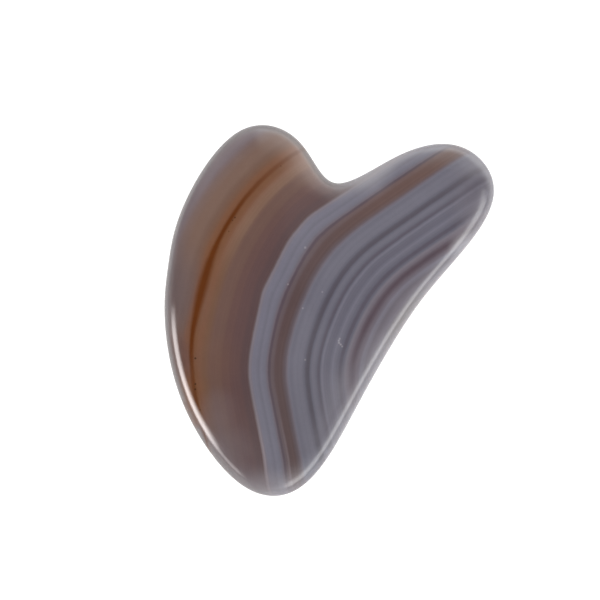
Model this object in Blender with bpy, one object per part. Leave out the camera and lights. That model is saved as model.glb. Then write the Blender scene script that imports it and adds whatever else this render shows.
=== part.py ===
"""Heart-shaped scraping stone (gua sha), cut and polished from one piece of banded agate.

Metres, +Z up. The stone lies on its back face, with its origin at the middle of the base.
+Y runs from the pointed end towards the two lobes, and +X towards the longer lobe.
"""

import math

import bmesh
import bpy
from mathutils import Vector

MM = 0.001

# Thickness between the two flat polished faces.
THICKNESS = 6.5 * MM

# The rim is a full roll-over from one face to the other. It is narrow on the straight flanks,
# and the tips and the lobes are ground back further.
FLANK_ROLL = 4.5 * MM
LOBE_ROLL = 6.5 * MM
TIP_ROLL = 7.0 * MM

# Points round the outline in each span between two cage points, and rings from rim to face.
SPAN_POINTS = 9
ROLL_RINGS = 9

# The cage of the outline, anticlockwise seen from above: x and y in mm, and the roll there.
# A closed cubic B-spline runs just inside it.
CAGE = (
    (18.0, 1.0, FLANK_ROLL),
    (26.5, 10.0, FLANK_ROLL),
    (38.5, 25.0, TIP_ROLL),
    (29.0, 37.0, TIP_ROLL),
    (14.5, 34.0, LOBE_ROLL),
    (-0.5, 22.5, FLANK_ROLL),
    (-4.5, 37.5, LOBE_ROLL),
    (-19.5, 42.0, LOBE_ROLL),
    (-32.5, 21.0, FLANK_ROLL),
    (-34.0, 9.5, FLANK_ROLL),
    (-35.5, -0.5, FLANK_ROLL),
    (-32.5, -20.0, FLANK_ROLL),
    (-19.5, -39.0, TIP_ROLL),
    (-7.5, -40.5, TIP_ROLL),
    (0.5, -31.0, FLANK_ROLL),
    (6.5, -19.0, FLANK_ROLL),
)

SMOKY_MAUVE = (0.19, 0.165, 0.185, 1.0)
POLISH_ROUGHNESS = 0.08
AGATE_IOR = 1.54


def clear_scene():
    """Removes whatever the file starts with."""
    for obj in list(bpy.data.objects):
        bpy.data.objects.remove(obj)


def on_span(start, share):
    """Point, inward normal and roll width at a share of the span that follows a cage point."""
    u = share
    weights = (
        (1 - u) ** 3 / 6,
        (3 * u**3 - 6 * u**2 + 4) / 6,
        (-3 * u**3 + 3 * u**2 + 3 * u + 1) / 6,
        u**3 / 6,
    )
    slopes = (
        -((1 - u) ** 2) / 2,
        (3 * u**2 - 4 * u) / 2,
        (-3 * u**2 + 2 * u + 1) / 2,
        u**2 / 2,
    )
    point, tangent, roll = Vector((0, 0)), Vector((0, 0)), 0.0
    for i in range(4):
        x, y, width = CAGE[(start + i - 1) % len(CAGE)]
        point += Vector((x, y)) * MM * weights[i]
        tangent += Vector((x, y)) * slopes[i]
        roll += width * weights[i]
    inward = Vector((-tangent.y, tangent.x)).normalized()
    return point, inward, roll


def rim():
    """Every point round the outline, anticlockwise, with its inward normal and roll width."""
    return [
        on_span(start, step / SPAN_POINTS)
        for start in range(len(CAGE))
        for step in range(SPAN_POINTS)
    ]


def centre_offset(stations):
    """What moves the middle of the outline's box to the origin."""
    xs = [point.x for point, _, _ in stations]
    ys = [point.y for point, _, _ in stations]
    return Vector((-(min(xs) + max(xs)) / 2, -(min(ys) + max(ys)) / 2))


def ring_vertices(mesh, stations, shift, angle):
    """One ring of the roll-over. The angle is 0 on the rim, 90 degrees on the upper face."""
    inset = 1 - math.cos(angle)
    height = THICKNESS / 2 * (1 + math.sin(angle))
    ring = []
    for point, inward, roll in stations:
        place = point + inward * roll * inset + shift
        ring.append(mesh.verts.new((place.x, place.y, height)))
    return ring


def stone_mesh():
    """The stone as one closed mesh: a flat back, the rolled rim and a flat front."""
    mesh = bmesh.new()
    stations = rim()
    shift = centre_offset(stations)
    rings = [
        ring_vertices(mesh, stations, shift, math.radians(90) * step / ROLL_RINGS)
        for step in range(-ROLL_RINGS, ROLL_RINGS + 1)
    ]
    for lower, upper in zip(rings, rings[1:]):
        for i in range(len(lower)):
            j = (i + 1) % len(lower)
            mesh.faces.new((lower[i], lower[j], upper[j], upper[i]))
    mesh.faces.new(list(reversed(rings[0])))
    mesh.faces.new(rings[-1])
    mesh.normal_update()
    data = bpy.data.meshes.new("agate_stone")
    mesh.to_mesh(data)
    mesh.free()
    data.shade_smooth()
    return data


def polished_agate():
    """Smoky grey-mauve chalcedony with a high polish."""
    material = bpy.data.materials.new("polished_agate")
    material.use_nodes = True
    shader = material.node_tree.nodes["Principled BSDF"]
    shader.inputs["Base Color"].default_value = SMOKY_MAUVE
    shader.inputs["Roughness"].default_value = POLISH_ROUGHNESS
    shader.inputs["Metallic"].default_value = 0.0
    shader.inputs["IOR"].default_value = AGATE_IOR
    return material


def main():
    """Builds the one piece."""
    clear_scene()
    stone = bpy.data.objects.new("agate_stone", stone_mesh())
    stone.data.materials.append(polished_agate())
    bpy.context.scene.collection.objects.link(stone)


main()
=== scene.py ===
"""Dresses the heart-shaped scraping stone: one polished piece of banded agate on a pale table.

Metres, +Z up, in the part's own frame: the stone lies on its back face, +Y runs from the blunt
point towards the lobes and +X towards the longer lobe. The camera looks straight down.
"""

import logging
import math
from dataclasses import dataclass, field
from enum import Enum

import bmesh
import bpy
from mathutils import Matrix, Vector


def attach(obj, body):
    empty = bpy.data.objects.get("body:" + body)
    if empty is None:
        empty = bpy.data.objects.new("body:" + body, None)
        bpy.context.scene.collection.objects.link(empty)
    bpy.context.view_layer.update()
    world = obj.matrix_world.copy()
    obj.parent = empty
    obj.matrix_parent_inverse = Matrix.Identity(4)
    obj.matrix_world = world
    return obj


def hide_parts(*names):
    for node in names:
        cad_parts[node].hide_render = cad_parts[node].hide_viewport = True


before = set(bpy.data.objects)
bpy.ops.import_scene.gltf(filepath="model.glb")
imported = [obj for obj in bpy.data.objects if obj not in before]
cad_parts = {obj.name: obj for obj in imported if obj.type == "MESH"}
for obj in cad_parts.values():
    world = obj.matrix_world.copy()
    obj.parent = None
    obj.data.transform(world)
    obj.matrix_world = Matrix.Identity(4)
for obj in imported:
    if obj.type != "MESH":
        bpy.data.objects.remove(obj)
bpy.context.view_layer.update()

LOG = logging.getLogger("scraping_stone")

MM = 0.001
MAX_RAMP_STOPS = 32
WHITE = (1.0, 1.0, 1.0, 1.0)
WARM_WHITE = (1.0, 0.95, 0.94, 1.0)

# The display curve is straight up to the end of its toe, and a power above it.
DISPLAY_MAX = 255
TOE_END = 0.04045
TOE_SLOPE = 12.92
CURVE_OFFSET = 0.055
CURVE_POWER = 2.4

# A noise node's numbers lie about this middle, and its roughness weighs the finer octaves.
NOISE_MIDDLE = 0.5
CLOUD_ROUGHNESS = 0.5
LAYER_ROUGHNESS = 0.6


def linear(display: tuple[float, float, float]) -> tuple[float, float, float, float]:
    """Turns a display colour into the linear one that a shader takes.

    Args:
        display: Red, green and blue from 0 to 255, as a screen shows them.

    Returns:
        Linear red, green and blue from 0 to 1, and an alpha of 1.
    """
    channels = []
    for channel in display:
        share = channel / DISPLAY_MAX
        low = share / TOE_SLOPE
        high = ((share + CURVE_OFFSET) / (1 + CURVE_OFFSET)) ** CURVE_POWER
        channels.append(low if share <= TOE_END else high)
    return (*channels, 1.0)


class Tone(Enum):
    """The agate's own colours, and the tones of the reflection and sheen painted on it, as display
    values from 0 to 255.
    """

    MAUVE_GREY = (124, 111, 115)
    MAUVE_SHADE = (103, 90, 92)
    ROSE_TAN = (124, 104, 99)
    DUN = (123, 99, 88)
    TOBACCO = (116, 91, 79)
    BARK = (117, 88, 72)
    AMBER = (96, 49, 17)
    RUST = (120, 76, 44)
    HONEY = (123, 86, 66)
    OCHRE = (120, 84, 62)
    SAND = (138, 110, 95)
    GOLD_BROWN = (115, 85, 67)
    CLAY = (109, 84, 76)
    PLUM_BROWN = (103, 78, 74)
    PLUM = (98, 75, 74)
    PLUM_EDGE = (91, 72, 73)
    PALE_SEAM = (126, 118, 126)
    SLATE_BLUE = (116, 114, 127)
    SLATE = (111, 109, 121)
    THISTLE = (110, 101, 110)
    DUSK = (102, 100, 112)
    LEAD = (105, 103, 115)
    INK = (83, 79, 89)
    SMOKE = (91, 87, 98)
    UMBER = (89, 71, 71)
    RUSSET = (103, 89, 91)
    HEATHER = (99, 85, 89)
    ROSE_LINE = (88, 76, 84)
    ROSE_GREY = (91, 79, 84)
    FOG = (121, 118, 129)
    PEARL = (121, 116, 125)
    GLINT = (166, 152, 157)
    OLIVE_TAN = (128, 121, 114)
    # Painted reflection on the notch's left flank.
    NOTCH_REFLECTION = (158, 134, 123)
    ASH = (118, 108, 112)
    # Painted reflection of the grey room in the rolled rim, and a paler kind of it.
    RIM_REFLECTION_GREY = (132, 127, 128)
    REFLECTION_PALE = (168, 165, 171)
    # The stone's pale haze, and painted sheen beside the rim's highlights.
    HAZE_AND_SHEEN = (140, 136, 144)
    MIST = (111, 105, 113)
    WARM_TAN = (114, 85, 73)
    PIT = (44, 28, 16)
    CHALK = (210, 206, 208)


class Signal:
    """One number that varies over the stone. Arithmetic on it adds Math nodes."""

    def __init__(self, bench: "ShaderBench", socket: bpy.types.NodeSocket) -> None:
        """Keeps the bench that adds nodes and the socket that carries the number."""
        self.bench = bench
        self.socket = socket

    def _math(self, operation: str, *others: "Signal | float") -> "Signal":
        """Adds a Math node with this number first.

        Args:
            operation: The Math node's operation.
            others: Its other inputs, signals or plain numbers.

        Returns:
            The result as a signal.
        """
        inputs = {0: self}
        inputs.update({place + 1: other for place, other in enumerate(others)})
        node = self.bench.node("ShaderNodeMath", {"operation": operation}, inputs)
        return Signal(self.bench, node.outputs[0])

    def _reflected(self, operation: str, other: float) -> "Signal":
        """Adds a Math node with a plain number first and this one second."""
        settings = {"operation": operation}
        node = self.bench.node("ShaderNodeMath", settings, {0: other, 1: self})
        return Signal(self.bench, node.outputs[0])

    def __add__(self, other: "Signal | float") -> "Signal":
        """This plus the other."""
        return self._math("ADD", other)

    def __radd__(self, other: float) -> "Signal":
        """The other plus this."""
        return self._reflected("ADD", other)

    def __sub__(self, other: "Signal | float") -> "Signal":
        """This less the other."""
        return self._math("SUBTRACT", other)

    def __rsub__(self, other: float) -> "Signal":
        """The other less this."""
        return self._reflected("SUBTRACT", other)

    def __mul__(self, other: "Signal | float") -> "Signal":
        """This times the other."""
        return self._math("MULTIPLY", other)

    def __rmul__(self, other: float) -> "Signal":
        """The other times this."""
        return self._reflected("MULTIPLY", other)

    def __truediv__(self, other: "Signal | float") -> "Signal":
        """This divided by the other."""
        return self._math("DIVIDE", other)

    def __abs__(self) -> "Signal":
        """This without its sign."""
        return self._math("ABSOLUTE")

    def root(self) -> "Signal":
        """The square root of this."""
        return self._math("SQRT")

    def smaller(self, other: "Signal") -> "Signal":
        """The lesser of the two."""
        return self._math("MINIMUM", other)

    def smooth_min(self, other: "Signal", radius: "Signal | float") -> "Signal":
        """The lesser of the two, rounded over the radius where they meet."""
        return self._math("SMOOTH_MIN", other, radius)

    def above(self, level: float) -> "Signal":
        """1 where this is over the level, and 0 elsewhere."""
        return self._math("GREATER_THAN", level)

    def rise(self, start: float, end: float) -> "Signal":
        """Runs smoothly from 0 at the start to 1 at the end, which may be the lower number.

        Args:
            start: The value that gives 0.
            end: The value that gives 1.

        Returns:
            The eased share of the way.
        """
        settings = {"interpolation_type": "SMOOTHSTEP"}
        inputs = {"Value": self, "From Min": start, "From Max": end, "To Min": 0.0, "To Max": 1.0}
        node = self.bench.node("ShaderNodeMapRange", settings, inputs)
        return Signal(self.bench, node.outputs["Result"])


@dataclass(frozen=True)
class Fade:
    """A soft change along a number, from 0 at its start to its amount at its end."""

    start: float
    end: float
    amount: float = 1.0

    def over(self, number: Signal) -> Signal:
        """The amount that is reached at the number."""
        return number.rise(self.start, self.end) * self.amount


@dataclass(frozen=True)
class Texture:
    """A noise: its features to the millimetre, its octaves of finer ones and its strength."""

    per_mm: float
    detail: float
    amount: float


class ShaderBench:
    """Lays out the nodes of one material, or of the studio's room."""

    def __init__(self, owner: bpy.types.Material | bpy.types.World, output: str) -> None:
        """Clears the owner's node tree and gives it its output.

        Args:
            owner: The material or world that the nodes belong to.
            output: The type of its output node.
        """
        owner.use_nodes = True
        self.tree = owner.node_tree
        self.tree.nodes.clear()
        self.output = self.tree.nodes.new(output)

    def finish(self, shader: bpy.types.Node) -> None:
        """Links the last shader to the output."""
        self.tree.links.new(shader.outputs[0], self.output.inputs["Surface"])

    def node(
        self, kind: str, settings: dict | None = None, inputs: dict | None = None
    ) -> bpy.types.Node:
        """Adds one node.

        Args:
            kind: The node's type.
            settings: Its properties by name. For a ramp, "stops" lists (place, colour) pairs.
            inputs: Values, signals or sockets, by the name or the number of the node's socket.

        Returns:
            The new node.
        """
        made = self.tree.nodes.new(kind)
        for name, setting in (settings or {}).items():
            if name == "stops":
                self._set_stops(made.color_ramp, setting)
            else:
                setattr(made, name, setting)
        for name, value in (inputs or {}).items():
            if isinstance(value, Signal):
                value = value.socket
            if isinstance(value, bpy.types.NodeSocket):
                self.tree.links.new(value, made.inputs[name])
            else:
                made.inputs[name].default_value = value
        return made

    @staticmethod
    def _set_stops(ramp: bpy.types.ColorRamp, stops: list[tuple[float, tuple]]) -> None:
        """Gives a ramp its stops, in order, each at its place from 0 to 1."""
        while len(ramp.elements) < len(stops):
            ramp.elements.new(1.0)
        for element, (place, colour) in zip(ramp.elements, stops):
            element.position = place
            element.color = colour

    def blend(
        self,
        factor: Signal | float,
        first: bpy.types.NodeSocket | tuple,
        second: Signal | bpy.types.NodeSocket | tuple,
        mode: str = "MIX",
    ) -> bpy.types.NodeSocket:
        """Mixes two colours.

        Args:
            factor: 0 for the first colour, 1 for the second.
            first: A colour or a colour socket.
            second: A colour, a colour socket, or a number that stands for a grey.
            mode: The Mix node's blend type.

        Returns:
            The socket of the mixed colour.
        """
        settings = {"data_type": "RGBA", "blend_type": mode, "clamp_factor": True}
        made = self.node("ShaderNodeMix", settings, {0: factor, 6: first, 7: second})
        return made.outputs[2]

    def noise(self, place: bpy.types.NodeSocket, texture: Texture) -> Signal:
        """A cloudy number about 0.

        Args:
            place: Where on the stone, in millimetres.
            texture: How fine and how strong the clouds are.

        Returns:
            The number as a signal, up to half the texture's amount either way.
        """
        return self._textured({"Vector": place, "Roughness": CLOUD_ROUGHNESS}, "3D", texture)

    def streaks(self, along: Signal, texture: Texture) -> Signal:
        """Fine layers stacked along a number, as a number about 0.

        Args:
            along: The number that they stack along, in millimetres.
            texture: How fine and how strong the layers are.

        Returns:
            The number as a signal, up to half the texture's amount either way.
        """
        return self._textured({"W": along, "Roughness": LAYER_ROUGHNESS}, "1D", texture)

    def _textured(self, inputs: dict, dimensions: str, texture: Texture) -> Signal:
        """Adds a noise node with the texture's fineness, and gives it the texture's strength."""
        inputs = {**inputs, "Scale": texture.per_mm, "Detail": texture.detail}
        made = self.node("ShaderNodeTexNoise", {"noise_dimensions": dimensions}, inputs)
        return (Signal(self, made.outputs[0]) - NOISE_MIDDLE) * texture.amount


@dataclass(frozen=True)
class GrowthFace:
    """One flat wall of the hollow that the agate grew in, seen as its layers cross the stone."""

    heading_deg: float
    reach_mm: float
    stacking: float

    def depth(self, x: Signal, y: Signal) -> Signal:
        """How far inside this wall's outermost blue layer a point lies, in millimetres.

        Args:
            x: Place to the right, in millimetres.
            y: Place towards the lobes, in millimetres.

        Returns:
            The depth as a signal.
        """
        heading = math.radians(self.heading_deg)
        across = x * (self.stacking * math.cos(heading)) + y * (self.stacking * math.sin(heading))
        return across - self.reach_mm


@dataclass(frozen=True)
class BandRun:
    """A run of layers: each tone stands at its depth, and the tones blend between them."""

    layers: tuple[tuple[float, Tone], ...]

    def colour(self, bench: ShaderBench, depth: Signal) -> bpy.types.NodeSocket:
        """Adds the ramp that colours the run.

        Args:
            bench: The material's bench.
            depth: Depth in the layers, in millimetres.

        Returns:
            The socket of the colour.
        """
        if len(self.layers) > MAX_RAMP_STOPS:
            raise ValueError("a run of layers has more tones than a ramp has stops")
        start, end = self.layers[0][0], self.layers[-1][0]
        stops = [((at - start) / (end - start), linear(tone.value)) for at, tone in self.layers]
        share = (depth - start) / (end - start)
        made = bench.node("ShaderNodeValToRGB", {"stops": stops}, {0: share})
        return made.outputs[0]


OUTER_RUN = BandRun(
    (
        (-24.0, Tone.MAUVE_GREY),
        (-21.6, Tone.MAUVE_GREY),
        (-20.3, Tone.ROSE_TAN),
        (-18.6, Tone.DUN),
        (-17.2, Tone.DUN),
        (-16.3, Tone.TOBACCO),
        (-15.4, Tone.BARK),
        (-14.6, Tone.HONEY),
        (-12.4, Tone.OCHRE),
        (-11.4, Tone.HONEY),
        (-10.2, Tone.GOLD_BROWN),
        (-8.9, Tone.CLAY),
        (-7.0, Tone.CLAY),
        (-6.2, Tone.PLUM_BROWN),
        (-5.3, Tone.PLUM_BROWN),
        (-4.3, Tone.PLUM),
        (-2.9, Tone.PLUM),
        (-2.1, Tone.PLUM_EDGE),
        (-1.1, Tone.PLUM_EDGE),
        (-0.78, Tone.RUSSET),
        (-0.5, Tone.PALE_SEAM),
        (-0.3, Tone.PALE_SEAM),
        (0.1, Tone.SLATE_BLUE),
    )
)

MIDDLE_RUN = BandRun(
    (
        (0.1, Tone.SLATE_BLUE),
        (0.9, Tone.SLATE_BLUE),
        (1.4, Tone.SLATE),
        (1.85, Tone.SLATE_BLUE),
        (2.3, Tone.SLATE_BLUE),
        (2.7, Tone.SLATE),
        (3.12, Tone.THISTLE),
        (3.48, Tone.ROSE_LINE),
        (3.72, Tone.ROSE_LINE),
        (3.95, Tone.HEATHER),
        (4.3, Tone.HEATHER),
        (4.85, Tone.UMBER),
        (6.0, Tone.UMBER),
        (6.6, Tone.ROSE_GREY),
        (7.2, Tone.THISTLE),
        (7.45, Tone.SLATE),
        (8.0, Tone.LEAD),
        (8.6, Tone.SLATE),
        (10.0, Tone.SLATE),
        (10.5, Tone.LEAD),
        (11.3, Tone.INK),
        (11.65, Tone.INK),
        (12.05, Tone.DUSK),
        (12.5, Tone.SLATE),
    )
)

INNER_RUN = BandRun(
    (
        (12.5, Tone.SLATE),
        (13.1, Tone.LEAD),
        (13.6, Tone.SMOKE),
        (13.85, Tone.SMOKE),
        (14.15, Tone.LEAD),
        (14.45, Tone.SLATE_BLUE),
        (14.9, Tone.LEAD),
        (15.5, Tone.DUSK),
        (16.0, Tone.DUSK),
        (16.55, Tone.SLATE_BLUE),
        (17.0, Tone.SLATE),
        (17.55, Tone.DUSK),
        (18.05, Tone.SMOKE),
        (18.45, Tone.SMOKE),
        (18.85, Tone.LEAD),
        (19.3, Tone.PEARL),
        (19.9, Tone.THISTLE),
        (20.55, Tone.ROSE_LINE),
        (20.85, Tone.ROSE_LINE),
        (21.7, Tone.THISTLE),
        (22.4, Tone.FOG),
        (23.3, Tone.MIST),
        (24.6, Tone.PEARL),
        (27.6, Tone.OLIVE_TAN),
    )
)

RUNS = (OUTER_RUN, MIDDLE_RUN, INNER_RUN)


@dataclass(frozen=True)
class Vein:
    """The seam of iron-stained amber that runs down the left lobe, between two layers."""

    depth_mm: float = -13.4
    drift_mm: Fade = Fade(-3.0, -13.0, 0.6)
    thin_mm: float = 0.5
    swell_mm: float = 0.55
    swell_at_mm: float = 5.0
    swell_reach_mm: float = 12.0
    edge_share: float = 1.5
    heart_share: float = 0.2
    lobe_loss: Fade = Fade(18.0, 36.0, 0.7)
    point_loss: Fade = Fade(-6.0, -14.0, 0.3)
    inner_glow_mm: float = 1.7
    outer_glow_mm: float = 2.2
    outer_glow_reach: Fade = Fade(-12.0, -2.0)

    def mask(self, depth: Signal, y: Signal) -> Signal:
        """Where the seam is.

        Args:
            depth: Depth in the layers, in millimetres.
            y: Place towards the lobes, in millimetres.

        Returns:
            1 in the seam's heart, 0 beyond its edges.
        """
        swell = abs(y - self.swell_at_mm).rise(self.swell_reach_mm, 0.0) * self.swell_mm
        away = abs(depth - self._centre(y)) / (swell + self.thin_mm)
        return away.rise(self.edge_share, self.heart_share) * self._richness(y)

    def glow(self, depth: Signal, y: Signal) -> Signal:
        """The warm stain that has spread from the seam into the layers beside it.

        Args:
            depth: Depth in the layers, in millimetres.
            y: Place towards the lobes, in millimetres.

        Returns:
            1 against the seam, 0 beyond the stain.
        """
        away = depth - self._centre(y)
        inside = away.above(0.0)
        inner = (away / self.inner_glow_mm).rise(1.0, 0.0) * inside
        outer = (away / self.outer_glow_mm).rise(-1.0, 0.0) * (1 - inside)
        return (inner + outer * self.outer_glow_reach.over(y)) * self._richness(y)

    def _centre(self, y: Signal) -> Signal:
        """Depth of the seam's middle, which drifts inward towards the blunt point."""
        return self.drift_mm.over(y) + self.depth_mm

    def _richness(self, y: Signal) -> Signal:
        """1 along most of the seam, less where it runs out in the lobe and near the point."""
        return 1 - self.lobe_loss.over(y) - self.point_loss.over(y)


@dataclass(frozen=True)
class Stripe:
    """A soft-edged layer of its own colour, which comes in gradually along the stone."""

    depth_mm: float
    edge_mm: float
    heart_mm: float
    along: Fade

    def share(self, depth: Signal, y: Signal) -> Signal:
        """How much of the stripe's colour shows.

        Args:
            depth: Depth in the layers, in millimetres.
            y: Place towards the lobes, in millimetres.

        Returns:
            The stripe's amount in its heart, 0 beyond its edges.
        """
        return abs(depth - self.depth_mm).rise(self.edge_mm, self.heart_mm) * self.along.over(y)


PALE_STREAK = Stripe(-10.4, 1.7, 0.4, Fade(5.0, 19.0))
WARM_UMBER = Stripe(5.3, 1.9, 1.1, Fade(6.0, 34.0, 0.5))
SEAM_HAIRLINE = Stripe(-0.6, 0.45, 0.1, Fade(-14.0, -36.0, 0.4))
UMBER_HAIRLINE = Stripe(4.5, 0.35, 0.1, Fade(-14.0, -36.0, 0.16))


@dataclass(frozen=True)
class Mark:
    """A spot in the stone: a pit along the amber seam, a pale crystal, a cloud of colour, or a patch
    of painted sheen and reflection by the rim.
    """

    x_mm: float
    y_mm: float
    radius_mm: float
    tone: Tone
    strength: float = 1.0
    core: float = 0.4

    def mask(self, bench: ShaderBench, flat: bpy.types.NodeSocket) -> Signal:
        """Where the spot is.

        Args:
            bench: The material's bench.
            flat: Place on the stone without its height, in millimetres.

        Returns:
            The spot's strength in its core, 0 outside it.
        """
        middle = (self.x_mm, self.y_mm, 0.0)
        gap = bench.node("ShaderNodeVectorMath", {"operation": "DISTANCE"}, {0: flat, 1: middle})
        away = Signal(bench, gap.outputs["Value"])
        return away.rise(self.radius_mm, self.radius_mm * self.core) * self.strength


CLOUDS_AND_SHEEN = (
    Mark(-42.0, 4.0, 19.0, Tone.MAUVE_SHADE, 0.8, 0.45),
    Mark(-33.5, -10.0, 7.0, Tone.PLUM_BROWN, 0.75, 0.4),
    # Painted reflection on the notch's left flank.
    Mark(-3.0, 33.0, 10.0, Tone.NOTCH_REFLECTION, 0.5, 0.1),
    Mark(-24.0, -10.5, 7.5, Tone.WARM_TAN, 0.35, 0.1),
    # Paler grey and haze round the blunt point: partly the stone's tone, partly painted sheen on the
    # rolled point.
    Mark(-27.0, -33.0, 14.5, Tone.ASH, 0.85, 0.3),
    Mark(-16.0, -40.0, 10.0, Tone.ASH, 0.7, 0.2),
    Mark(-19.0, -40.0, 9.0, Tone.HAZE_AND_SHEEN, 0.4, 0.2),
    Mark(-9.0, -42.0, 12.0, Tone.HAZE_AND_SHEEN, 0.45, 0.1),
    Mark(-23.5, -20.5, 5.5, Tone.MAUVE_GREY, 0.3, 0.2),
    # Painted sheen just inside the right flank's highlight.
    Mark(2.5, -26.5, 8.5, Tone.HAZE_AND_SHEEN, 0.5, 0.1),
    Mark(6.5, -19.0, 11.0, Tone.HAZE_AND_SHEEN, 0.6, 0.1),
    Mark(11.5, -10.5, 8.5, Tone.HAZE_AND_SHEEN, 0.5, 0.1),
    # Painted sheen and reflection by the rim of the longer lobe's lower side.
    Mark(29.0, 13.2, 4.8, Tone.REFLECTION_PALE, 0.55, 0.2),
    Mark(31.0, 20.0, 6.0, Tone.HAZE_AND_SHEEN, 0.25, 0.2),
    # The longer lobe's pale tip: partly the stone's tone, partly painted sheen.
    Mark(36.0, 36.0, 9.0, Tone.HAZE_AND_SHEEN, 0.5, 0.2),
    Mark(36.0, 25.0, 14.0, Tone.MIST, 0.45, 0.3),
    # Painted reflection of the room along the top edge of the longer lobe, by the notch.
    Mark(10.0, 40.0, 13.5, Tone.REFLECTION_PALE, 0.75, 0.3),
    Mark(6.5, 31.5, 9.0, Tone.REFLECTION_PALE, 0.75, 0.3),
)

RIM_STAINS = (
    Mark(-30.1, -20.4, 2.4, Tone.HONEY, 0.6, 0.2),
    Mark(-28.6, -23.4, 2.4, Tone.HONEY, 0.6, 0.2),
)

PITS = (
    Mark(-28.1, -10.0, 0.3, Tone.PIT, 0.75),
    Mark(-28.1, -15.4, 0.28, Tone.PIT, 0.75),
    Mark(-28.15, -16.5, 0.28, Tone.PIT, 0.75),
    Mark(-27.1, -20.8, 0.26, Tone.PIT, 0.5),
    Mark(-19.8, 19.5, 0.26, Tone.PIT, 0.6),
    Mark(-20.3, 18.9, 0.24, Tone.PIT, 0.45),
    Mark(-21.1, 16.6, 0.24, Tone.PIT, 0.35),
    Mark(-10.2, 30.3, 0.24, Tone.PIT, 0.35),
)

CRYSTALS = (
    Mark(-5.1, 13.2, 0.34, Tone.CHALK, 0.18),
    Mark(-5.6, 0.5, 0.28, Tone.CHALK, 0.18),
    Mark(-8.7, 5.5, 0.28, Tone.CHALK, 0.15),
    Mark(-5.1, -10.3, 0.28, Tone.CHALK, 0.16),
    Mark(-1.5, 3.9, 0.28, Tone.CHALK, 0.16),
    Mark(2.15, -5.9, 0.3, Tone.CHALK, 0.22),
    Mark(1.95, -6.3, 0.3, Tone.CHALK, 0.25),
    Mark(2.0, -6.75, 0.3, Tone.CHALK, 0.28),
    Mark(2.35, -7.1, 0.3, Tone.CHALK, 0.26),
    Mark(2.65, -7.5, 0.28, Tone.CHALK, 0.2),
)


@dataclass(frozen=True)
class Spot:
    """A point of the stone as its nodes know it, in millimetres.

    below is its height from the front face, negative inside the stone.
    """

    place: bpy.types.NodeSocket
    x: Signal
    y: Signal
    below: Signal


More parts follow.
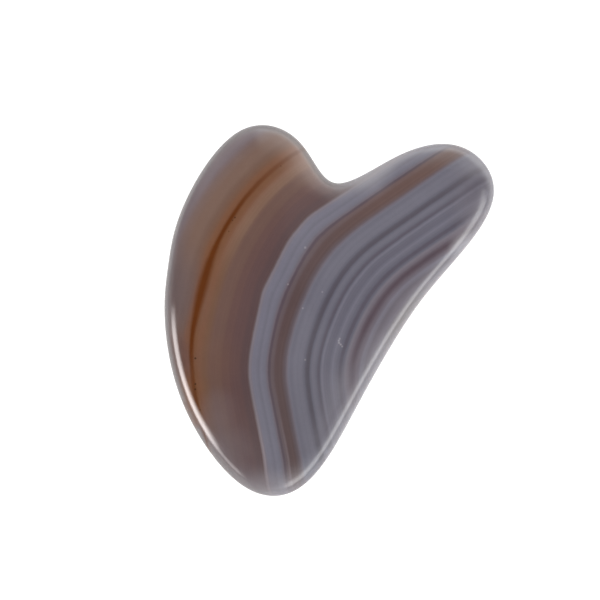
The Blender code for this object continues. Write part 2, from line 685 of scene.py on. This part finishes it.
@dataclass(frozen=True)
class AgateFinish:
    """Banded grey and brown agate with a high polish."""

    name: str = "banded_agate"
    trim: float = 0.478
    roughness: float = 0.05
    ior: float = 1.54
    subsurface: float = 0.25
    subsurface_mm: tuple[float, float, float] = (0.45, 0.35, 0.3)
    # Painted shade: the colour darkens towards the blunt point.
    point_painted_shade: Fade = Fade(-2.0, -24.0, 0.09)
    # How much painted reflection of the room greys the rolled rim, how far in it reaches, and where
    # it is held back.
    rim_reflection_share: float = 0.8
    rim_reflection_reach: Fade = Fade(-0.8, -1.8)
    rim_reflection_inner: Fade = Fade(-4.0, 0.0)
    rim_reflection_clearing: float = 0.25
    point_reflection_loss: Fade = Fade(-26.0, -38.0, 0.25)
    seam_reflection_loss: float = 0.6
    stain: float = 0.6
    stain_loss: Fade = Fade(6.0, 24.0, 0.3)
    corner_mm: float = 4.1
    crisp_corner_mm: float = 0.6
    bend_corner_mm: float = 3.0
    crispness: Fade = Fade(7.0, 1.0)
    settling_mm: Fade = Fade(-30.0, -38.0, 0.6)
    layer_tilt: float = 0.22
    sway_mm: Texture = Texture(0.11, 1.0, 0.25)
    crinkle_mm: Texture = Texture(0.7, 2.0, 0.12)
    streak: Texture = Texture(2.4, 3.0, 0.24)
    streak_rise: Fade = Fade(-14.0, -2.0, 0.8)
    streak_least: float = 0.2
    patches: Texture = Texture(0.09, 1.0, 1.0)
    patch_level: float = 0.8
    cloud: Texture = Texture(0.16, 3.0, 0.1)
    mottle: Texture = Texture(1.5, 2.0, 0.08)
    ribs: Texture = Texture(1.3, 1.0, 0.9)
    rib_level: float = 0.5
    faces: tuple[GrowthFace, ...] = (
        GrowthFace(-55.5, -18.1, 1.0),
        GrowthFace(-40.6, -15.3, 0.985),
        GrowthFace(-27.0, -13.0, 0.95),
        GrowthFace(-11.7, -14.1, 1.01),
        GrowthFace(11.0, -19.3, 1.03),
    )
    vein: Vein = field(default_factory=Vein)

    def make(self, face_height: float) -> bpy.types.Material:
        """Builds the material.

        Args:
            face_height: Height of the front face, in metres, where the layers are drawn true.

        Returns:
            The finished material.
        """
        material = bpy.data.materials.new(self.name)
        bench = ShaderBench(material, "ShaderNodeOutputMaterial")
        spot = self._spot(bench, face_height)
        depth = self._depth(bench, spot)
        colour = RUNS[0].colour(bench, depth)
        for run in RUNS[1:]:
            colour = bench.blend(depth.above(run.layers[0][0]), colour, run.colour(bench, depth))
        colour = self._striped(bench, depth, spot.y, colour)
        colour = self._marked(bench, spot, colour, CLOUDS_AND_SHEEN)
        glow = self.vein.glow(depth, spot.y)
        seam = self.vein.mask(depth, spot.y)
        warmed = glow * (self.stain - self.stain_loss.over(spot.y))
        colour = bench.blend(warmed, colour, linear(Tone.RUST.value))
        colour = bench.blend(seam, colour, linear(Tone.AMBER.value))
        colour = self._marked(bench, spot, colour, PITS + CRYSTALS)
        # Painted reflection of the room on the rolled rim, held back where the amber seam crosses
        # it.
        shown = 1 - (glow + seam) * self.seam_reflection_loss
        colour = self._painted_rim_reflection(bench, spot, depth, shown, colour)
        shader = bench.node(
            "ShaderNodeBsdfPrincipled",
            {"subsurface_method": "RANDOM_WALK"},
            {
                "Base Color": self._grained(bench, spot, depth, colour),
                "Roughness": self.roughness,
                "IOR": self.ior,
                "Subsurface Weight": self.subsurface,
                "Subsurface Radius": self.subsurface_mm,
                "Subsurface Scale": MM,
            },
        )
        bench.finish(shader)
        return material

    @staticmethod
    def _spot(bench: ShaderBench, face_height: float) -> Spot:
        """The point being coloured, with its height from the front face.

        Args:
            bench: The material's bench.
            face_height: Height of the front face, in metres.

        Returns:
            The point, in millimetres.
        """
        here = bench.node("ShaderNodeTexCoord").outputs["Object"]
        scaling = {0: here, "Scale": 1 / MM}
        place = bench.node("ShaderNodeVectorMath", {"operation": "SCALE"}, scaling).outputs[0]
        parts = bench.node("ShaderNodeSeparateXYZ", {}, {0: place})
        x, y, z = (Signal(bench, parts.outputs[i]) for i in range(3))
        return Spot(place, x, y, z - face_height / MM)

    def _depth(self, bench: ShaderBench, spot: Spot) -> Signal:
        """Depth in the layers, whose corners are crispest about the first blue one.

        Args:
            bench: The material's bench.
            spot: The point on the stone.

        Returns:
            The depth in millimetres, 0 at the outermost blue layer.
        """
        depths = [wall.depth(spot.x, spot.y) for wall in self.faces]
        sharp = depths[0]
        for other in depths[1:]:
            sharp = sharp.smaller(other)
        crisp = self.crispness.over(abs(sharp))
        corner = self.corner_mm - crisp * (self.corner_mm - self.crisp_corner_mm)
        bend = self.corner_mm - crisp * (self.corner_mm - self.bend_corner_mm)
        depth = depths[0]
        for other in depths[1:-1]:
            depth = depth.smooth_min(other, corner)
        depth = depth.smooth_min(depths[-1], bend) + self.settling_mm.over(spot.y)
        waver = bench.noise(spot.place, self.sway_mm) + bench.noise(spot.place, self.crinkle_mm)
        return depth + waver + spot.below * self.layer_tilt

    def _striped(
        self, bench: ShaderBench, depth: Signal, y: Signal, colour: bpy.types.NodeSocket
    ) -> bpy.types.NodeSocket:
        """Lays the ribbed streak beside the seam, the warmer umber and the hairlines over a colour.

        Args:
            bench: The material's bench.
            depth: Depth in the layers, in millimetres.
            y: Place towards the lobes, in millimetres.
            colour: The colour before.

        Returns:
            The socket of the colour with its stripes.
        """
        ribs = bench.streaks(depth, self.ribs) + self.rib_level
        stripes = (
            (PALE_STREAK.share(depth, y) * ribs, Tone.SAND),
            (WARM_UMBER.share(depth, y), Tone.WARM_TAN),
            (SEAM_HAIRLINE.share(depth, y) + UMBER_HAIRLINE.share(depth, y), Tone.GLINT),
        )
        for share, tone in stripes:
            colour = bench.blend(share, colour, linear(tone.value))
        return colour

    def _painted_rim_reflection(
        self,
        bench: ShaderBench,
        spot: Spot,
        depth: Signal,
        shown: Signal,
        colour: bpy.types.NodeSocket,
    ) -> bpy.types.NodeSocket:
        """Greys the rolled rim with painted reflection of the grey room and painted light through
        its thin edge.

        Args:
            bench: The material's bench.
            spot: The point on the stone.
            depth: Depth in the layers, in millimetres.
            shown: How much of the painted reflection shows, less where the amber seam crosses the
                rim.
            colour: The colour before.

        Returns:
            The socket of the colour with the painted reflection on its rim.
        """
        # Painted reflection: the rim is blended towards grey, paler over the blue layers and weaker
        # near the blunt point.
        inner = self.rim_reflection_inner.over(depth)
        share = self.rim_reflection_share - inner * self.rim_reflection_clearing - self.point_reflection_loss.over(spot.y)
        rim = self.rim_reflection_reach.over(spot.below) * share * shown
        tone = bench.blend(inner, linear(Tone.RIM_REFLECTION_GREY.value), linear(Tone.REFLECTION_PALE.value))
        return self._marked(bench, spot, bench.blend(rim, colour, tone), RIM_STAINS)

    def _grained(
        self, bench: ShaderBench, spot: Spot, depth: Signal, colour: bpy.types.NodeSocket
    ) -> bpy.types.NodeSocket:
        """Shades a colour with fine layers along the bands, clouds across them and painted shade
        towards the blunt point.

        Args:
            bench: The material's bench.
            spot: The point on the stone.
            depth: Depth in the layers, in millimetres.
            colour: The colour before.

        Returns:
            The socket of the colour with its grain.
        """
        clearness = self.streak_rise.over(depth) + self.streak_least
        patches = bench.noise(spot.place, self.patches) + self.patch_level
        fine = bench.streaks(depth, self.streak) * clearness * patches
        clouds = bench.noise(spot.place, self.cloud) + bench.noise(spot.place, self.mottle)
        # Painted shade darkens the colour towards the blunt point.
        level = (fine + clouds + 1.0 - self.point_painted_shade.over(spot.y)) * self.trim
        return bench.blend(1.0, colour, level, "MULTIPLY")

    @staticmethod
    def _marked(
        bench: ShaderBench,
        spot: Spot,
        colour: bpy.types.NodeSocket,
        marks: tuple[Mark, ...],
    ) -> bpy.types.NodeSocket:
        """Lays a set of marks over a colour.

        Args:
            bench: The material's bench.
            spot: The point on the stone.
            colour: The colour before.
            marks: The marks, in the order they are laid.

        Returns:
            The socket of the colour with its marks.
        """
        flattening = {0: spot.place, 1: (1, 1, 0)}
        flat = bench.node("ShaderNodeVectorMath", {"operation": "MULTIPLY"}, flattening)
        for mark in marks:
            share = mark.mask(bench, flat.outputs[0])
            colour = bench.blend(share, colour, linear(mark.tone.value))
        return colour


@dataclass(frozen=True)
class TableFinish:
    """Plain matt white acrylic, lit from behind as a product table is."""

    name: str = "pale_table"
    back_light: float = 0.95
    colour: tuple[float, float, float, float] = (0.3, 0.3, 0.3, 1.0)
    roughness: float = 0.7
    sheen: float = 0.1

    def make(self) -> bpy.types.Material:
        """Builds the material."""
        material = bpy.data.materials.new(self.name)
        bench = ShaderBench(material, "ShaderNodeOutputMaterial")
        inputs = {
            "Base Color": self.colour,
            "Roughness": self.roughness,
            "Specular IOR Level": self.sheen,
            "Emission Color": WHITE,
            "Emission Strength": self.back_light,
        }
        bench.finish(bench.node("ShaderNodeBsdfPrincipled", {}, inputs))
        return material


class Grind(Enum):
    """How far the rim is rolled over from the outline to the flat face, in millimetres."""

    FLANK = 4.5
    LOBE = 6.5
    TIP = 7.0


@dataclass
class ScrapingStone:
    """The stone: a heart-shaped slab whose rim is fully rolled over from face to face."""

    name: str = "polished_stone"
    thickness_mm: float = 6.5
    span_points: int = 48
    roll_rings: int = 28
    cage: tuple[tuple[float, float, Grind], ...] = (
        (18.0, 1.0, Grind.FLANK),
        (26.5, 10.0, Grind.FLANK),
        (38.5, 25.0, Grind.TIP),
        (29.0, 37.0, Grind.TIP),
        (14.5, 34.0, Grind.LOBE),
        (-0.5, 22.5, Grind.FLANK),
        (-4.5, 37.5, Grind.LOBE),
        (-19.5, 42.0, Grind.LOBE),
        (-32.5, 21.0, Grind.FLANK),
        (-34.0, 9.5, Grind.FLANK),
        (-35.5, -0.5, Grind.FLANK),
        (-32.5, -20.0, Grind.FLANK),
        (-19.5, -39.0, Grind.TIP),
        (-7.5, -40.5, Grind.TIP),
        (0.5, -31.0, Grind.FLANK),
        (6.5, -19.0, Grind.FLANK),
    )
    finish: AgateFinish = field(default_factory=AgateFinish)

    def station(self, start: int, share: float) -> tuple[Vector, Vector, float]:
        """One point of the outline.

        Args:
            start: The cage point that the span follows.
            share: How far along the span, from 0 to 1.

        Returns:
            The point, the inward direction and the width of the roll there, in metres.
        """
        u = share
        weights = (
            (1 - u) ** 3 / 6,
            (3 * u**3 - 6 * u**2 + 4) / 6,
            (-3 * u**3 + 3 * u**2 + 3 * u + 1) / 6,
            u**3 / 6,
        )
        slopes = (
            -((1 - u) ** 2) / 2,
            (3 * u**2 - 4 * u) / 2,
            (-3 * u**2 + 2 * u + 1) / 2,
            u**2 / 2,
        )
        point, tangent, roll = Vector((0, 0)), Vector((0, 0)), 0.0
        for i in range(4):
            x, y, grind = self.cage[(start + i - 1) % len(self.cage)]
            point += Vector((x, y)) * MM * weights[i]
            tangent += Vector((x, y)) * slopes[i]
            roll += grind.value * MM * weights[i]
        return point, Vector((-tangent.y, tangent.x)).normalized(), roll

    def outline(self) -> list[tuple[Vector, Vector, float]]:
        """Every point of the outline, anticlockwise, moved so that its box is centred."""
        stations = [
            self.station(start, step / self.span_points)
            for start in range(len(self.cage))
            for step in range(self.span_points)
        ]
        xs = [point.x for point, _, _ in stations]
        ys = [point.y for point, _, _ in stations]
        middle = Vector(((min(xs) + max(xs)) / 2, (min(ys) + max(ys)) / 2))
        return [(point - middle, inward, roll) for point, inward, roll in stations]

    def build(self) -> bpy.types.Object:
        """Builds the closed mesh: flat back, rolled rim, flat front.

        Returns:
            The stone's object, with true normals all over its rim.
        """
        mesh = bmesh.new()
        stations = self.outline()
        half = self.thickness_mm * MM / 2
        rings, normals = [], []
        for step in range(-self.roll_rings, self.roll_rings + 1):
            angle = math.radians(90) * step / self.roll_rings
            ring = []
            for point, inward, roll in stations:
                spot = point + inward * roll * (1 - math.cos(angle))
                ring.append(mesh.verts.new((spot.x, spot.y, half * (1 + math.sin(angle)))))
                out = -inward * half * math.cos(angle)
                normals.append(Vector((out.x, out.y, roll * math.sin(angle))).normalized())
            rings.append(ring)
        for lower, upper in zip(rings, rings[1:]):
            for i in range(len(lower)):
                j = (i + 1) % len(lower)
                mesh.faces.new((lower[i], lower[j], upper[j], upper[i]))
        mesh.faces.new(list(reversed(rings[0])))
        mesh.faces.new(rings[-1])
        mesh.normal_update()
        data = bpy.data.meshes.new(self.name)
        mesh.to_mesh(data)
        mesh.free()
        data.shade_smooth()
        data.normals_split_custom_set_from_vertices(normals)
        stone = bpy.data.objects.new(self.name, data)
        bpy.context.scene.collection.objects.link(stone)
        return stone

    def dress(self, stone: bpy.types.Object) -> None:
        """Polishes the stone and puts it in the place of the plain solid."""
        stone.data.materials.append(self.finish.make(self.thickness_mm * MM))
        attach(stone, "root")
        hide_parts("agate_stone")


@dataclass
class Table:
    """The pale table top that the stone lies on."""

    name: str = "table_top"
    side: float = 6.0
    finish: TableFinish = field(default_factory=TableFinish)

    def build(self) -> bpy.types.Object:
        """Lays the table top at the height of the stone's back face."""
        half = self.side / 2
        data = bpy.data.meshes.new(self.name)
        corners = [(-half, -half, 0), (half, -half, 0), (half, half, 0), (-half, half, 0)]
        data.from_pydata(corners, [], [(0, 1, 2, 3)])
        data.materials.append(self.finish.make())
        table = bpy.data.objects.new(self.name, data)
        bpy.context.scene.collection.objects.link(table)
        return table


@dataclass(frozen=True)
class SoftBox:
    """A studio light: a flat diffuser that faces the stone and isn't mirrored in its polish."""

    name: str
    azimuth_deg: float
    elevation_deg: float
    distance: float
    width: float
    height: float
    radiance: float

    def build(self) -> bpy.types.Object:
        """Hangs the light. Its azimuth runs anticlockwise from +X.

        Returns:
            The light's object.
        """
        light = bpy.data.lights.new(self.name, "AREA")
        light.shape = "RECTANGLE"
        light.size = self.width
        light.size_y = self.height
        light.energy = self.radiance * math.pi * self.width * self.height
        lamp = bpy.data.objects.new(self.name, light)
        azimuth, elevation = math.radians(self.azimuth_deg), math.radians(self.elevation_deg)
        away = Vector(
            (
                math.cos(azimuth) * math.cos(elevation),
                math.sin(azimuth) * math.cos(elevation),
                math.sin(elevation),
            )
        )
        lamp.location = away * self.distance
        lamp.rotation_mode = "QUATERNION"
        lamp.rotation_quaternion = away.to_track_quat("Z", "Y")
        lamp.visible_camera = False
        lamp.visible_glossy = False
        bpy.context.scene.collection.objects.link(lamp)
        return lamp


@dataclass(frozen=True)
class Window:
    """A bright patch of the studio's walls, with soft edges."""

    name: str
    azimuth_deg: float
    half_angle_deg: float
    edge_deg: float
    height: float
    half_height: float
    edge_height: float
    radiance: float
    warmth: tuple[float, float, float, float] = WHITE

    def strength(self, right: Signal, far: Signal, up: Signal) -> Signal:
        """Adds the window's shape to the world.

        Args:
            right: How far a direction points to the right, from -1 to 1.
            far: How far it points towards the lobes.
            up: How far it points upwards.

        Returns:
            The window's radiance inside it, 0 beyond its soft edges.
        """
        azimuth = math.radians(self.azimuth_deg)
        level = (1.0 - up * up).root()
        ahead = (right * math.cos(azimuth) + far * math.sin(azimuth)) / level
        inner = math.cos(math.radians(self.half_angle_deg))
        outer = math.cos(math.radians(self.half_angle_deg + self.edge_deg))
        tall = abs(up - self.height).rise(self.half_height + self.edge_height, self.half_height)
        return ahead.rise(outer, inner) * tall * self.radiance

    def shine(self, bench: ShaderBench, right: Signal, far: Signal, up: Signal) -> bpy.types.Node:
        """The background shader that holds the window's light alone."""
        strength = self.strength(right, far, up)
        return bench.node("ShaderNodeBackground", {}, {"Color": self.warmth, "Strength": strength})


@dataclass(frozen=True)
class Room:
    """The studio round the table: bright low down, save on the left, and dim overhead."""

    name: str = "studio_room"
    dim_level: float = 0.1
    wall_level: float = 2.4
    wall_bottom: float = 0.15
    wall_top: float = 0.88
    dark_side: float = -0.95
    bright_side: float = 0.1
    dark_share: float = 0.12
    doorway: Window = Window("doorway", -3, 10, 20, 0.35, 0.2, 0.3, 0.55)
    windows: tuple[Window, ...] = (
        Window("left_window", 200, 10, 12, 0.56, 0.055, 0.19, 11.8, WARM_WHITE),
        Window("left_tail", 215, 12, 12, 0.54, 0.02, 0.12, 4.0, WARM_WHITE),
        Window("left_glow", 205, 20, 25, 0.1, 0.2, 0.25, 1.2),
        Window("right_window", -41, 24, 14, 0.53, 0.05, 0.16, 3.3),
        Window("tip_glow", -12, 8, 14, 0.66, 0.03, 0.1, 1.1),
        Window("right_glow", -39, 34, 20, 0.6, 0.05, 0.32, 1.2),
        Window("far_glow", 66, 22, 22, 0.55, 0.2, 0.35, 1.5),
        Window("lobe_glow", 128, 12, 16, 0.4, 0.2, 0.3, 0.6),
        Window("near_glow", -80, 20, 25, 0.7, 0.15, 0.25, 1.0),
    )

    def build(self) -> None:
        """Makes the world that lights and surrounds the table."""
        world = bpy.data.worlds.new(self.name)
        bench = ShaderBench(world, "ShaderNodeOutputWorld")
        towards = bench.node("ShaderNodeTexCoord").outputs["Generated"]
        parts = bench.node("ShaderNodeSeparateXYZ", {}, {0: towards})
        right, far, up = (Signal(bench, parts.outputs[i]) for i in range(3))
        side = right.rise(self.dark_side, self.bright_side) * (1 - self.dark_share) + self.dark_share
        wall = side * up.rise(self.wall_top, self.wall_bottom) * self.wall_level
        wall = wall * (1.0 - self.doorway.strength(right, far, up))
        shader = bench.node("ShaderNodeBackground", {}, {"Strength": wall + self.dim_level})
        for window in self.windows:
            light = window.shine(bench, right, far, up)
            inputs = {0: shader.outputs[0], 1: light.outputs[0]}
            shader = bench.node("ShaderNodeAddShader", {}, inputs)
            LOG.info("light %s set", window.name)
        bench.finish(shader)
        bpy.context.scene.world = world


@dataclass
class Studio:
    """Plain soft light: the room with its windows, and three panels."""

    room: Room = field(default_factory=Room)
    boxes: tuple[SoftBox, ...] = (
        SoftBox("overhead_panel", 90, 88, 1.2, 1.4, 1.4, 1.3),
        SoftBox("right_panel", -30, 42, 1.2, 1.0, 0.9, 1.2),
        SoftBox("far_panel", 70, 42, 1.2, 1.0, 0.9, 0.4),
    )

    def build(self) -> None:
        """Lights the room and hangs every box."""
        self.room.build()
        for box in self.boxes:
            box.build()
            LOG.info("light %s hung", box.name)
        bpy.context.scene.view_settings.view_transform = "Standard"


@dataclass
class OverheadCamera:
    """The camera: straight above, a little to the left of and beyond the stone's middle."""

    name: str = "overhead_camera"
    x_mm: float = -6.18
    y_mm: float = 2.22
    frame_mm: float = 126.9
    lens_mm: float = 100.0
    sensor_mm: float = 36.0
    aim_height_mm: float = 3.25
    near_limit: float = 0.01
    far_limit: float = 20.0

    def build(self) -> bpy.types.Object:
        """Sets the camera so that the frame's width is true at the stone's widest level.

        Returns:
            The camera's object.
        """
        data = bpy.data.cameras.new(self.name)
        data.lens = self.lens_mm
        data.sensor_width = self.sensor_mm
        data.clip_start = self.near_limit
        data.clip_end = self.far_limit
        camera = bpy.data.objects.new(self.name, data)
        height = self.frame_mm * self.lens_mm / self.sensor_mm + self.aim_height_mm
        camera.location = (self.x_mm * MM, self.y_mm * MM, height * MM)
        bpy.context.scene.collection.objects.link(camera)
        bpy.context.scene.camera = camera
        return camera


def main() -> None:
    """Builds the stone, the table, the lights and the camera, in that order."""
    logging.basicConfig(level=logging.INFO, format="%(name)s: %(message)s")
    maker = ScrapingStone()
    stone = maker.build()
    maker.dress(stone)
    LOG.info("piece %s built with %d faces", stone.name, len(stone.data.polygons))
    table = Table().build()
    LOG.info("stage %s laid", table.name)
    Studio().build()
    camera = OverheadCamera().build()
    LOG.info("camera %s set", camera.name)


if __name__ == "__main__":
    main()
